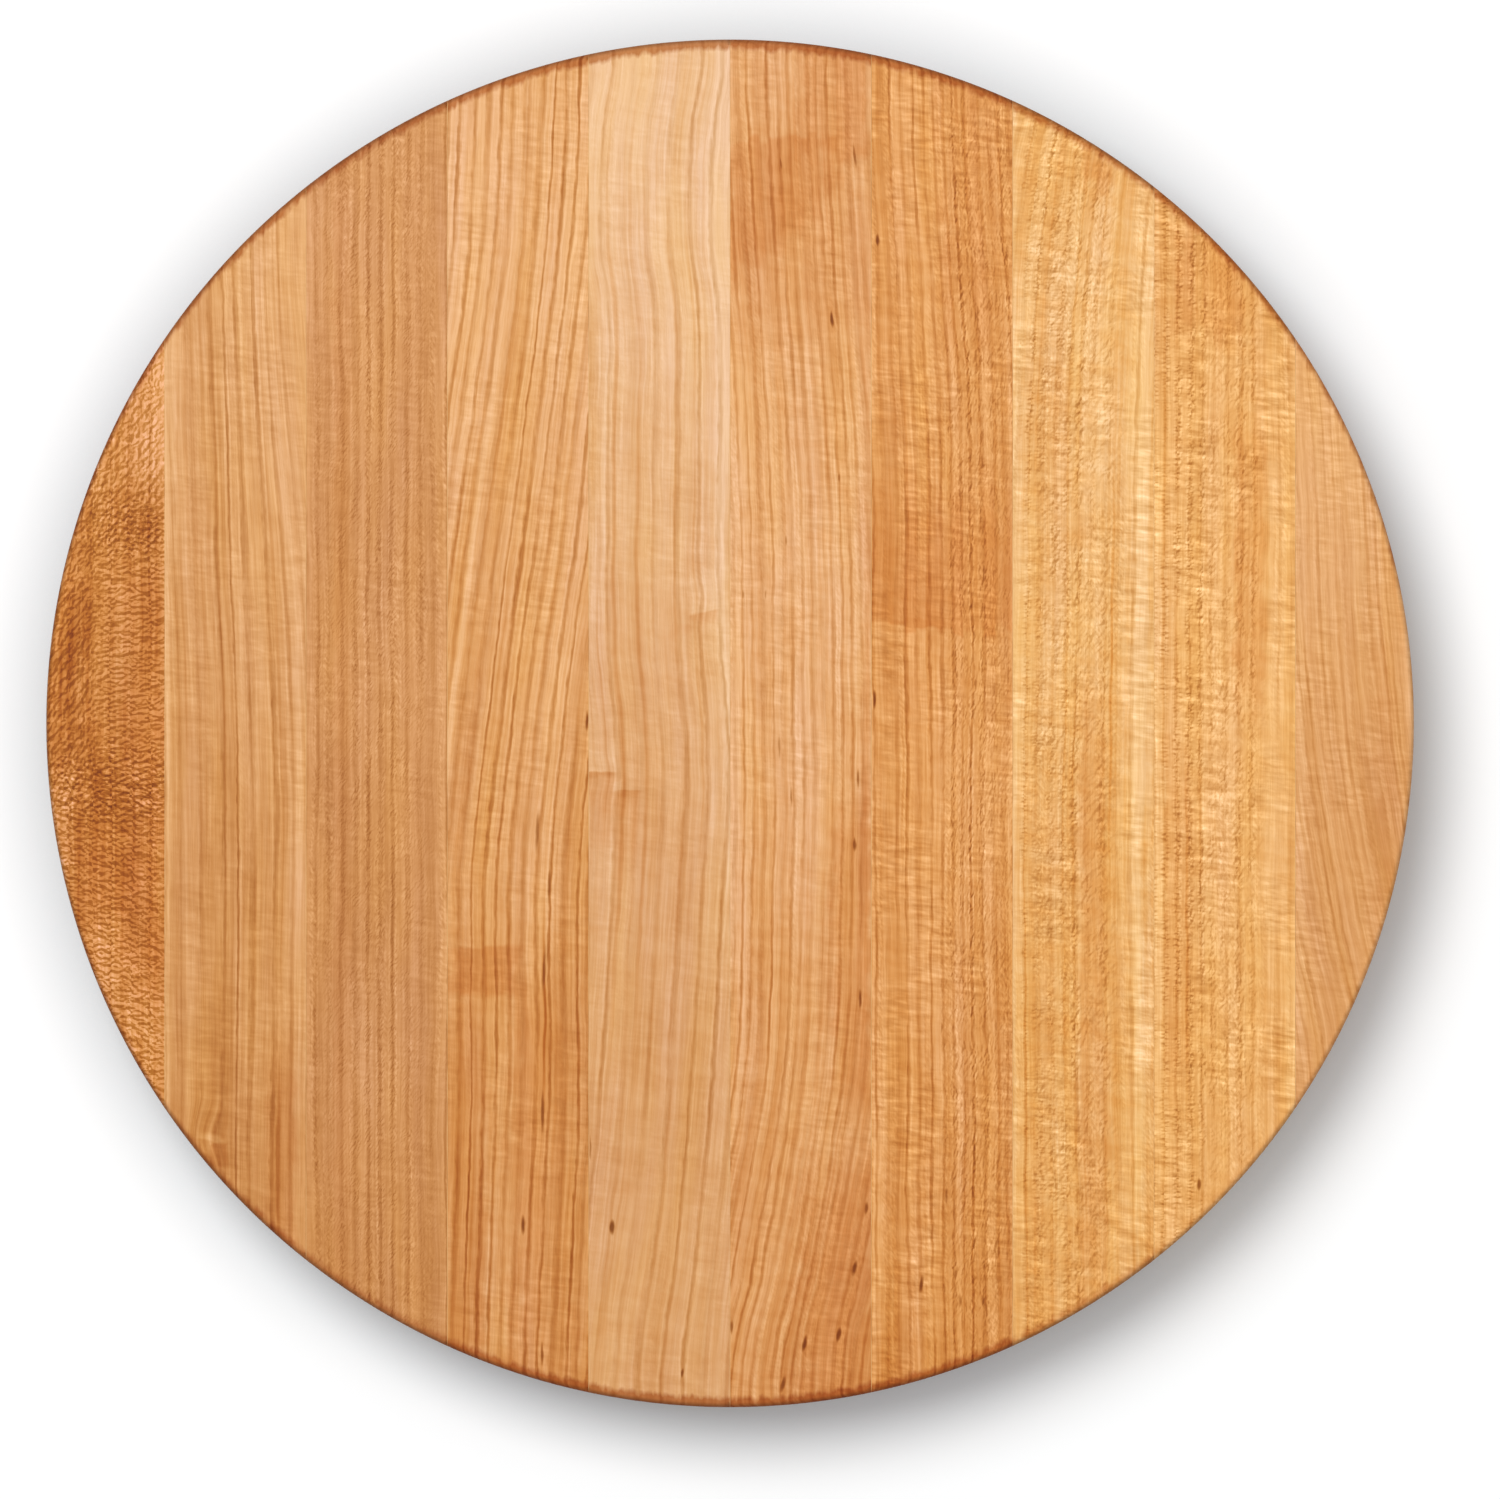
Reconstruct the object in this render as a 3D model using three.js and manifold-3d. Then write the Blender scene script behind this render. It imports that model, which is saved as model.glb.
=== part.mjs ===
// Round butcher block cutting board: long-grain staves glued edge to edge into a blank,
// which is then turned to a disc with eased rims. Each stave and each line of cured glue
// between two staves is a piece of its own.
//
// Millimetres, +Z up. The origin is the centre of the underside, the staves run along Y
// and they are numbered from the left, along +X.

import * as THREE from 'three';
import { mergeVertices } from 'three/addons/utils/BufferGeometryUtils.js';
import Module from 'manifold-3d';

const wasm = await Module();
wasm.setup();

// Driving dimensions
const DIAMETER = 457.2; // across the finished round, 18 inches
const THICKNESS = 38.1; // from the underside to the work face, 1 1/2 inches
const STAVE_WIDTH = 47.05; // one planed stave, from glue face to glue face
const GLUE_LINE = 0.15; // cured glue between two staves
const EDGE_RADIUS = 2; // easing round the upper and the lower rim

// Fineness of the turned surface
const RIM_SEGMENTS = 144; // chords round the rim
const EASING_DIVISIONS = 2; // each makes two chords of a rim's quarter arc

// Colour of each stave from the left, repeated if the board has more staves
const STAVE_COLOURS = [
  '#c5793e', // russet
  '#da9d62', // honey
  '#d2945b', // tan
  '#dfa065', // honey
  '#e3ad76', // cream
  '#e0a167', // honey
  '#dd9756', // amber
  '#ecb06d', // straw
  '#eaad69', // straw
  '#e0a367', // honey
];
const GLUE_COLOUR = '#a8713c';
const OILED_WOOD_ROUGHNESS = 0.5;
const CURED_GLUE_ROUGHNESS = 0.4;

// Sizes that follow from the driving dimensions
const RADIUS = DIAMETER / 2;
const PITCH = STAVE_WIDTH + GLUE_LINE;
const STAVE_COUNT = Math.ceil(DIAMETER / PITCH); // as few as cover the round
const OUTER_JOINT_X = (1 - STAVE_COUNT / 2) * PITCH; // the staves are centred on the round
const CUT_REACH = DIAMETER; // how far a dividing slab reaches past the disc each way

function solidOf(geometry) {
  const positions = geometry.clone();
  positions.deleteAttribute('normal');
  positions.deleteAttribute('uv');
  const merged = mergeVertices(positions);
  return new wasm.Manifold(new wasm.Mesh({
    numProp: 3,
    vertProperties: new Float32Array(merged.attributes.position.array),
    triVerts: new Uint32Array(merged.index.array),
  }));
}

function geometryOf(solid) {
  const { vertProperties, triVerts } = solid.getMesh();
  const geometry = new THREE.BufferGeometry();
  geometry.setAttribute('position', new THREE.BufferAttribute(vertProperties, 3));
  geometry.setIndex(new THREE.BufferAttribute(triVerts, 1));
  geometry.computeVertexNormals();
  return geometry;
}

// The turned disc: flat underside and work face, straight wall, quarter-round rims
function turnedDisc() {
  const flat = RADIUS - EDGE_RADIUS;
  const profile = new THREE.Path();
  profile.moveTo(0, 0);
  profile.lineTo(flat, 0);
  profile.absarc(flat, EDGE_RADIUS, EDGE_RADIUS, -Math.PI / 2, 0);
  profile.lineTo(RADIUS, THICKNESS - EDGE_RADIUS);
  profile.absarc(flat, THICKNESS - EDGE_RADIUS, EDGE_RADIUS, 0, Math.PI / 2);
  profile.lineTo(0, THICKNESS);
  const lathe = new THREE.LatheGeometry(profile.getPoints(EASING_DIVISIONS), RIM_SEGMENTS);
  return lathe.rotateX(Math.PI / 2);
}

// An upright slab between two planes across X, larger than the disc in Y and Z
function slab(left, right) {
  const outline = new THREE.Shape();
  outline.moveTo(left, -CUT_REACH);
  outline.lineTo(right, -CUT_REACH);
  outline.lineTo(right, CUT_REACH);
  outline.lineTo(left, CUT_REACH);
  outline.closePath();
  const depth = THICKNESS + 2 * CUT_REACH;
  return new THREE.ExtrudeGeometry(outline, { depth, bevelEnabled: false }).translate(0, 0, -CUT_REACH);
}

// X of the middle of a glue line: line 1 lies between the first stave and the second
function glueLineX(line) {
  return OUTER_JOINT_X + (line - 1) * PITCH;
}

function gluedFaceRightOf(line) {
  return glueLineX(line) + GLUE_LINE / 2;
}

function gluedFaceLeftOf(line) {
  return glueLineX(line) - GLUE_LINE / 2;
}

function numbered(name, number) {
  return `${name}_${String(number).padStart(2, '0')}`;
}

const disc = solidOf(turnedDisc());

function pieceBetween(left, right, name, colour, roughness) {
  const geometry = geometryOf(disc.intersect(solidOf(slab(left, right))));
  const material = new THREE.MeshStandardMaterial({ color: colour, roughness, metalness: 0 });
  const mesh = new THREE.Mesh(geometry, material);
  mesh.name = name;
  return mesh;
}

// The first and the last stave run out to the rim
function makeStave(number) {
  const left = number === 1 ? -CUT_REACH : gluedFaceRightOf(number - 1);
  const right = number === STAVE_COUNT ? CUT_REACH : gluedFaceLeftOf(number);
  const colour = STAVE_COLOURS[(number - 1) % STAVE_COLOURS.length];
  return pieceBetween(left, right, numbered('stave', number), colour, OILED_WOOD_ROUGHNESS);
}

function makeGlueLine(line) {
  const left = gluedFaceLeftOf(line);
  const right = gluedFaceRightOf(line);
  return pieceBetween(left, right, numbered('glue_line', line), GLUE_COLOUR, CURED_GLUE_ROUGHNESS);
}

const staves = new THREE.Group();
for (let number = 1; number <= STAVE_COUNT; number += 1) {
  staves.add(makeStave(number));
}

const glueLines = new THREE.Group();
for (let line = 1; line < STAVE_COUNT; line += 1) {
  glueLines.add(makeGlueLine(line));
}

const board = new THREE.Group();
board.add(staves, glueLines);

export default board;
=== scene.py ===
# Round butcher block cutting board: ten oiled cherry staves, glued edge to edge and turned to a disc.
# Metres, +Z up, the staves along Y. The figure of the wood is worked out in millimetres.

import math

import bpy
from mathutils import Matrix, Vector


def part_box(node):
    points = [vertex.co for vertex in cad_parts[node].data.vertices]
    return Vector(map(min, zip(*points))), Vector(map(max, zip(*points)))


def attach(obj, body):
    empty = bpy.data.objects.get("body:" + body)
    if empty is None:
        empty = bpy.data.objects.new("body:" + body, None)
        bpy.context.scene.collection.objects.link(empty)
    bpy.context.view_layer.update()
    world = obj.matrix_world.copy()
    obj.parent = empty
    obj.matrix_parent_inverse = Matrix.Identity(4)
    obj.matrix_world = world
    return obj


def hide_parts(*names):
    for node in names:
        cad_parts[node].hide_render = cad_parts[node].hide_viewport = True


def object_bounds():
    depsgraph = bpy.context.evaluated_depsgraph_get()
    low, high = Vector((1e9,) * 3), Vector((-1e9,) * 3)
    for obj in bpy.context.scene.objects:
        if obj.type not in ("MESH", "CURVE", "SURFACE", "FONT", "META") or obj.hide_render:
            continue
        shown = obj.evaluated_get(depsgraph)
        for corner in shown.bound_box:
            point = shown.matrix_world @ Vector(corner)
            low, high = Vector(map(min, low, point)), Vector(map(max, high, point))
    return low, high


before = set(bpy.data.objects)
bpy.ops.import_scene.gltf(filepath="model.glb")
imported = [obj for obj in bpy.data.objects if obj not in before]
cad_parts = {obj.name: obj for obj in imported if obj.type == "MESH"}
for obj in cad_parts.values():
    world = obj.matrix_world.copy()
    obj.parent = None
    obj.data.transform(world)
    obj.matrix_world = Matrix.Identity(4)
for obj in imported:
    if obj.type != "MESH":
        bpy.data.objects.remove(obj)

cad_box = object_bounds()

# Sizes of the turned disc
RADIUS = (cad_box[1].x - cad_box[0].x) / 2
THICKNESS = cad_box[1].z - cad_box[0].z
EASING = 0.002  # radius of the upper and the lower rim
RIM_CHORDS = 720
EASING_CHORDS = 12
SPARE = 0.02  # how far a cutting slab reaches past the disc
WELD = 1e-6  # points closer than this are joined

# The same in millimetres, for the figure of the wood
MM = 1000
RADIUS_MM = RADIUS * MM
THICKNESS_MM = THICKNESS * MM


# Arithmetic on node sockets


class Value:
    """A number that varies over a mesh or a surface. Arithmetic on it adds Math nodes."""

    def __init__(self, tree, socket):
        self.tree = tree
        self.socket = socket

    def math(self, operation, *others):
        sockets = dict(enumerate((self, *others)))
        return self.tree.value("ShaderNodeMath", {"operation": operation}, sockets)

    def reflected(self, operation, first):
        return self.tree.value("ShaderNodeMath", {"operation": operation}, {0: first, 1: self})

    def __add__(self, other):
        return self.math("ADD", other)

    def __radd__(self, other):
        return self.math("ADD", other)

    def __sub__(self, other):
        return self.math("SUBTRACT", other)

    def __rsub__(self, other):
        return self.reflected("SUBTRACT", other)

    def __mul__(self, other):
        return self.math("MULTIPLY", other)

    def __rmul__(self, other):
        return self.math("MULTIPLY", other)

    def __truediv__(self, other):
        return self.math("DIVIDE", other)

    def __rtruediv__(self, other):
        return self.reflected("DIVIDE", other)

    def __pow__(self, other):
        return self.math("POWER", other)

    def __gt__(self, other):
        return self.math("GREATER_THAN", other)

    def floor(self):
        return self.math("FLOOR")

    def rounded(self):
        return self.math("ROUND")

    def absolute(self):
        return self.math("ABSOLUTE")

    def root(self):
        return self.math("SQRT")

    def sine(self):
        return self.math("SINE")

    def cosine(self):
        return self.math("COSINE")

    def between(self, low, high):
        """0 below low, 1 above high (or the other way round) and an even ramp between."""
        return self.map_range("LINEAR", low, high)

    def eased(self, low, high):
        """The same with soft ends."""
        return self.map_range("SMOOTHSTEP", low, high)

    def map_range(self, how, low, high):
        start, end = (0, 1) if low < high else (1, 0)
        sockets = {"Value": self, "From Min": min(low, high), "From Max": max(low, high)}
        sockets.update({"To Min": start, "To Max": end})
        settings = {"interpolation_type": how, "clamp": True}
        return self.tree.value("ShaderNodeMapRange", settings, sockets)


class Tree:
    """A node tree, built by adding nodes one after another."""

    def __init__(self, node_tree):
        self.nodes = node_tree.nodes
        self.links = node_tree.links

    def node(self, kind, settings=None, sockets=None):
        """Adds a node: its settings first, then the values or the links of its sockets."""
        node = self.nodes.new(kind)
        for name, setting in (settings or {}).items():
            if name == "stops":
                fill_ramp(node.color_ramp, setting)
            elif name == "points":
                fill_curve(node.mapping, setting)
            else:
                setattr(node, name, setting)
        for key, given in (sockets or {}).items():
            for one in given if isinstance(given, list) else [given]:
                self.give(socket_of(node, key), one)
        return node

    def give(self, socket, given):
        if isinstance(given, Value):
            self.links.new(given.socket, socket)
        elif isinstance(given, bpy.types.NodeSocket):
            self.links.new(given, socket)
        else:
            socket.default_value = given

    def value(self, kind, settings=None, sockets=None, output=0):
        return Value(self, self.node(kind, settings, sockets).outputs[output])

    def vector(self, x, y, z):
        return self.node("ShaderNodeCombineXYZ", None, {0: x, 1: y, 2: z}).outputs[0]

    def split(self, vector):
        parts = self.node("ShaderNodeSeparateXYZ", None, {0: vector})
        return [Value(self, part) for part in parts.outputs]


def socket_of(node, key):
    """A socket by its place, its identifier or its name."""
    if isinstance(key, int):
        return node.inputs[key]
    for socket in node.inputs:
        if socket.identifier == key:
            return socket
    return node.inputs[key]


def fill_ramp(ramp, stops):
    while len(ramp.elements) < len(stops):
        ramp.elements.new(1)
    for element, (place, colour) in zip(ramp.elements, stops):
        element.position = place
        element.color = colour


def fill_curve(mapping, points):
    curve = mapping.curves[0]
    while len(curve.points) < len(points):
        curve.points.new(1, 1)
    for point, place in zip(curve.points, points):
        point.location = place
    mapping.update()


# Shapes


def turned_slice_tree():
    """Geometry Nodes for the turned disc with eased rims, cut off at two planes across X."""
    group = bpy.data.node_groups.new("turned_slice", "GeometryNodeTree")
    kinds = {name: "NodeSocketFloat" for name in ("Left", "Right", "Radius", "Thickness", "Easing")}
    kinds.update({"Rim Chords": "NodeSocketInt", "Easing Chords": "NodeSocketInt"})
    kinds["Material"] = "NodeSocketMaterial"
    for name, kind in kinds.items():
        group.interface.new_socket(name, in_out="INPUT", socket_type=kind)
    group.interface.new_socket("Slice", in_out="OUTPUT", socket_type="NodeSocketGeometry")

    tree = Tree(group)
    given = tree.node("NodeGroupInput").outputs
    left, right, radius, thickness, easing, rim_chords, easing_chords = (
        Value(tree, given[name]) for name in list(kinds)[:7]
    )
    flat = radius - easing

    # The rim is a grid of angles by steps up its profile: lower easing, wall, upper easing
    steps = easing_chords * 2 + 1
    sizes = {"Size X": 1, "Size Y": 1, "Vertices X": rim_chords + 1, "Vertices Y": steps + 1}
    grid = tree.node("GeometryNodeMeshGrid", None, sizes)
    along, up, _ = tree.split(tree.node("GeometryNodeInputPosition").outputs[0])
    angle = (along + 0.5) * math.tau
    step = ((up + 0.5) * steps).rounded()
    upper = step > easing_chords + 0.5
    slope = (step - easing_chords - upper) / easing_chords * (math.pi / 2)
    reach = flat + easing * slope.cosine()
    height = easing + easing * slope.sine() + upper * (thickness - easing * 2)
    place = tree.vector(reach * angle.cosine(), reach * angle.sine(), height)
    rim = tree.node("GeometryNodeSetPosition", None, {"Geometry": grid.outputs[0], "Position": place})

    # Flat faces close it above and below
    circle = {"Vertices": rim_chords, "Radius": flat}
    face = tree.node("GeometryNodeMeshCircle", {"fill_type": "NGON"}, circle).outputs[0]
    lift = tree.vector(0, 0, thickness)
    top = tree.node("GeometryNodeTransform", None, {"Geometry": face, "Translation": lift})
    bottom = tree.node("GeometryNodeFlipFaces", None, {"Mesh": face})
    shells = [rim.outputs[0], top.outputs[0], bottom.outputs[0]]
    joined = tree.node("GeometryNodeJoinGeometry", None, {"Geometry": shells}).outputs[0]
    disc = tree.node("GeometryNodeMergeByDistance", None, {"Geometry": joined, "Distance": WELD})

    size = tree.vector(right - left, radius * 4, thickness * 4)
    middle = tree.vector((left + right) / 2, 0, thickness / 2)
    block = tree.node("GeometryNodeMeshCube", None, {"Size": size}).outputs[0]
    slab = tree.node("GeometryNodeTransform", None, {"Geometry": block, "Translation": middle})
    both = {"Mesh 2": [disc.outputs[0], slab.outputs[0]]}
    cut = tree.node("GeometryNodeMeshBoolean", {"operation": "INTERSECT", "solver": "EXACT"}, both)

    # Only the rim is round, and the sawn and planed faces are flat
    x, y, _ = tree.split(tree.node("GeometryNodeInputPosition").outputs[0])
    on_rim = (x * x + y * y).root() > flat
    flats = {"Geometry": cut.outputs[0], "Shade Smooth": False}
    plain = tree.node("GeometryNodeSetShadeSmooth", {"domain": "FACE"}, flats).outputs[0]
    rounds = {"Geometry": plain, "Selection": on_rim, "Shade Smooth": True}
    shaded = tree.node("GeometryNodeSetShadeSmooth", {"domain": "FACE"}, rounds).outputs[0]

    real = tree.node("GeometryNodeRealizeInstances", None, {"Geometry": shaded}).outputs[0]
    finish = {"Geometry": real, "Material": given["Material"]}
    done = tree.node("GeometryNodeSetMaterial", None, finish).outputs[0]
    tree.node("NodeGroupOutput", None, {"Slice": done})
    return group


def make_slice(name, tree, left, right, material):
    """One slice of the disc as a plain mesh object."""
    sizes = {
        "Left": left,
        "Right": right,
        "Radius": RADIUS,
        "Thickness": THICKNESS,
        "Easing": EASING,
        "Rim Chords": RIM_CHORDS,
        "Easing Chords": EASING_CHORDS,
        "Material": material,
    }
    maker = bpy.data.objects.new(name + "_maker", bpy.data.meshes.new(name + "_maker"))
    bpy.context.scene.collection.objects.link(maker)
    modifier = maker.modifiers.new("slice", "NODES")
    modifier.node_group = tree
    for socket in tree.interface.items_tree:
        if socket.in_out == "INPUT":
            modifier[socket.identifier] = sizes[socket.name]
    maker.update_tag()
    made = maker.evaluated_get(bpy.context.evaluated_depsgraph_get())
    mesh = bpy.data.meshes.new_from_object(made)
    bpy.data.objects.remove(maker)
    mesh.name = name
    piece = bpy.data.objects.new(name, mesh)
    bpy.context.scene.collection.objects.link(piece)
    return piece


# Finishes


def linear(channel):
    return channel / 12.92 if channel <= 0.04045 else ((channel + 0.055) / 1.055) ** 2.4


def colour(code):
    """Red, green, blue and alpha of a colour written as six hexadecimal digits."""
    parts = [int(code[place:place + 2], 16) / 255 for place in (0, 2, 4)]
    return (*map(linear, parts), 1)


SHEEN = 0.2  # of oil that has soaked in and dried
OIL_IOR = 1.45  # its index of refraction
OILED = 0.48  # roughness of the oiled wood
GLUED = 0.42  # and of the sanded glue
PORE_DEPTH = 0.00005  # relief of the pores


class Finish(Tree):
    """A material's tree, with what the wood and the glue both need."""

    def __init__(self, name):
        self.material = bpy.data.materials.new(name)
        self.material.use_nodes = True
        self.material.node_tree.nodes.clear()
        super().__init__(self.material.node_tree)

    def millimetres(self):
        """Place in the board's own frame."""
        place = self.node("ShaderNodeTexCoord").outputs["Object"]
        return [part * MM for part in self.split(place)]

    def noise(self, x, y, z, detail=1.0, roughness=0.5, distortion=0.0):
        """Smooth noise from -1 to 1, mostly within half of that."""
        sockets = {"Vector": self.vector(x, y, z), "Scale": 1, "Detail": detail}
        sockets.update({"Roughness": roughness, "Distortion": distortion})
        return self.value("ShaderNodeTexNoise", {"noise_dimensions": "3D"}, sockets) * 2 - 1

    def chance(self, number):
        """A fixed random number from 0 to 1 for each whole number."""
        settings = {"noise_dimensions": "1D"}
        return self.value("ShaderNodeTexWhiteNoise", settings, {"W": number}, "Value")

    def curve(self, along, points, reach):
        """A smooth curve over the length of the board, through given points of at most +-reach."""
        length = 2 * RADIUS_MM
        placed = [(y / length + 0.5, value / (2 * reach) + 0.5) for y, value in sorted(points)]
        start = [(0, placed[0][1])] if placed[0][0] > 0 else []
        end = [(1, placed[-1][1])] if placed[-1][0] < 1 else []
        settings = {"points": start + placed + end}
        height = self.value("ShaderNodeFloatCurve", settings, {"Value": along / length + 0.5})
        return (height - 0.5) * (2 * reach)

    def spot(self, place, middle, halves, core=0.0):
        """1 within the core of a soft oval spot, 0 from its edge outwards."""
        shrink = Vector([1 / half for half in halves])
        shift = Vector([-at / half for at, half in zip(middle, halves)])
        settings = {"operation": "MULTIPLY_ADD"}
        near = self.node("ShaderNodeVectorMath", settings, {0: place, 1: shrink, 2: shift}).outputs[0]
        settings = {"operation": "LENGTH"}
        return self.value("ShaderNodeVectorMath", settings, {0: near}, "Value").eased(1, core)

    def mix(self, share, first, second, blend="MIX"):
        settings = {"data_type": "RGBA", "blend_type": blend, "clamp_factor": True}
        sockets = {"Factor_Float": share, "A_Color": first, "B_Color": second}
        node = self.node("ShaderNodeMix", settings, sockets)
        return next(socket for socket in node.outputs if socket.identifier == "Result_Color")

    def ramp(self, share, stops):
        return self.node("ShaderNodeValToRGB", {"stops": stops}, {0: share}).outputs[0]

    def relief(self, height, depth):
        """Fine relief of that depth, in metres."""
        sockets = {"Height": height, "Distance": depth, "Strength": 1}
        return {"Normal": self.node("ShaderNodeBump", None, sockets).outputs[0]}

    def surface(self, base, roughness, relief=None):
        """An oiled surface with that colour, roughness and relief."""
        sockets = {"Base Color": base, "Roughness": roughness, "IOR": OIL_IOR, "Specular IOR Level": SHEEN}
        sockets.update(relief or {})
        shader = self.node("ShaderNodeBsdfPrincipled", None, sockets)
        self.node("ShaderNodeOutputMaterial", None, {"Surface": shader.outputs[0]})
        return self.material


DRIFT_REACH = 40  # the most that the grain drifts sideways over the length, mm
MOST_STEP = 5  # how far a patch's end may step from ring to ring, mm
TREND_REACH = 1  # the most that a stave's tone changes over its length
MARK_DEPTH = 9  # how deep a streak or a gum mark goes, mm
TONES = 12  # steps from a stave's dark to its light
MARK_SHADE = 0.85  # how much darker a fine mark of strength 1 is than the wood round it
MARK_REDDEN = 0.36  # how much redder
MARK_REACH = 2.0  # the strength of the darkest marks, which are gum
WARM = colour("f0dabe")  # what a warm patch does to the colour
YELLOWISH = (1.01, 1, 0.88, 1)  # how far the hue strays to either side
PINKISH = (0.99, 1, 1.12, 1)
END_GRAIN = colour("cfa886")  # what soaked end grain does to the colour
PAINTED_EDGE_SHADE = colour("cacad0")  # and what painted shade does to the outermost edge
SEED_STEP = 7.3  # how far apart the noise of two staves lies
PATCH_DEPTHS = (-32, -6)  # from the work face: where a patch has gone and where it is whole, mm
LINE_SHARE = 0.4  # of a growth line's darkness lies in the tone, and the rest in the fine marks
FLECK_DARK = 0.8  # how dark a mark of ray fleck is; its pale side has the rest up to 1
FLECK_EDGE = 0.12  # how crisp that pale side is
FLECK_FRAY = 5  # raggedness of an area of ray fleck, mm
RING_SHIFT = 9  # how far its marks shift from ring to ring, mm
SIDE_BAND = 0.5  # width of the rim's soaked band on the side grain, mm
END_BAND = 3.7  # how much wider it is on the end grain, mm
BAND_POWER = 1.1  # how soon it widens from the side grain to the end grain
BAND_FADE = 1.8  # how far it fades inwards, mm
SOAK_AND_SHADE_TURN = 60  # how far from the middle the band's top or foot value, with its painted shade, is whole, mm

# Where a feature ends and where it is whole
LINE_CORE = (1, 0.1)  # the dark core of a growth line, in half widths from its middle
LINE_FLANKS = (2.4, 0.8)  # the pale wood on both sides of it
LINE_REACH = (2.2, 0.3)  # the ray fleck that gathers along it
ARRIS_HIGHLIGHT = (1.9, 0.7)  # the painted highlight along a stave's left edge, mm from its left joint
DARKER_EDGE = (2.0, 0.3)  # the darker outermost edge, mm from it: painted shade on the wood

# A stave's figure. Places are millimetres from the board's centre, y along the grain,
# and a tone runs from 0, the stave's dark, to 1, its light.
PLAIN = {
    "contrast": 0.48,  # how far dark and light lie from the stave's colour
    "redden": 0.55,  # how much redder the dark is
    "yellow": 0.9,  # and how much yellower
    "marks_yellow": 0.65,  # how much yellower fine marks are
    "level": 0.66,  # tone of the plain wood
    "spacing": 4.0,  # between growth lines, mm
    "width": 1.2,  # half the width of a growth line, mm
    "uneven": 0.5,  # how uneven the spacing is
    "varied": 0.8,  # how much one line differs from the next
    "lines": 0.62,  # how dark the growth lines are
    "bands": 0.22,  # how much one ring's tone differs from the next
    "wander": 2.0,  # slow waves of the grain, mm
    "waver": 0.45,  # short waves of the grain, mm
    "feather": 0.5,  # raggedness of the growth lines, mm
    "streak": 0.40,  # soft streaks along the grain
    "fibre": 0.32,  # fine streaks along the grain
    "mottle": 0.36,  # fine short marks, in some columns only
    "ripple": 0.16,  # thin soft bars across the grain, in some areas only
    "curl": 0.16,  # wider bars across the grain
    "cloud": 0.14,  # large soft patches
    "slope": 0.6,  # how the rings lean in the end grain
    "bow": 0.006,  # and how they bow there, per mm
    "soak_and_shade": (1.0, 1.0),  # how dark the rim's band of soaked end grain is towards the top and towards the foot, with painted shade making the top darker
    "edge": 1.0,  # how dark the painted shade on the outermost edge is
    "arris_highlight": 0.0,  # how strong the painted highlight along its left joint is
    "drift": [(0, 0)],  # sideways drift of the grain along the stave: y, mm
    "trend": [(0, 0)],  # lighter or darker along the stave: y, tone
    "bends": [],  # the grain pushed sideways: x, y, half width, half length, mm
    "gather": 1,  # how much the ray fleck gathers along the growth lines
    "soft": 0.42,  # how softly its marks end
    "flecks": [],  # ray fleck: x, half width, y, half length, angle, thickness, length, swirl, tone
    "streaks": [],  # along the grain: x, y, half width, half length, tone
    "patches": [],  # x, half width, top, foot, how far the sides, top and foot fade, tone, warmth, leans
    "gum": [],  # dark gum: x, y, half width, half length, lean, strength
}


def patch(x, half, top, foot, fades, tone=0.0, warm=0.0, top_lean=0.0, foot_lean=0.0):
    """An area of the stave that is lighter, darker or warmer, with straight sides along the grain."""
    return {
        "x": x, "half": half, "top": top, "foot": foot, "fades": fades,
        "tone": tone, "warm": warm, "top_lean": top_lean, "foot_lean": foot_lean,
    }


def joint_edge(x, top, foot, tone):
    """A strip along a joint that is paler or darker than the rest of its stave."""
    return patch(x, 1.6, top, foot, (2, 40, 40), tone=tone)


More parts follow.
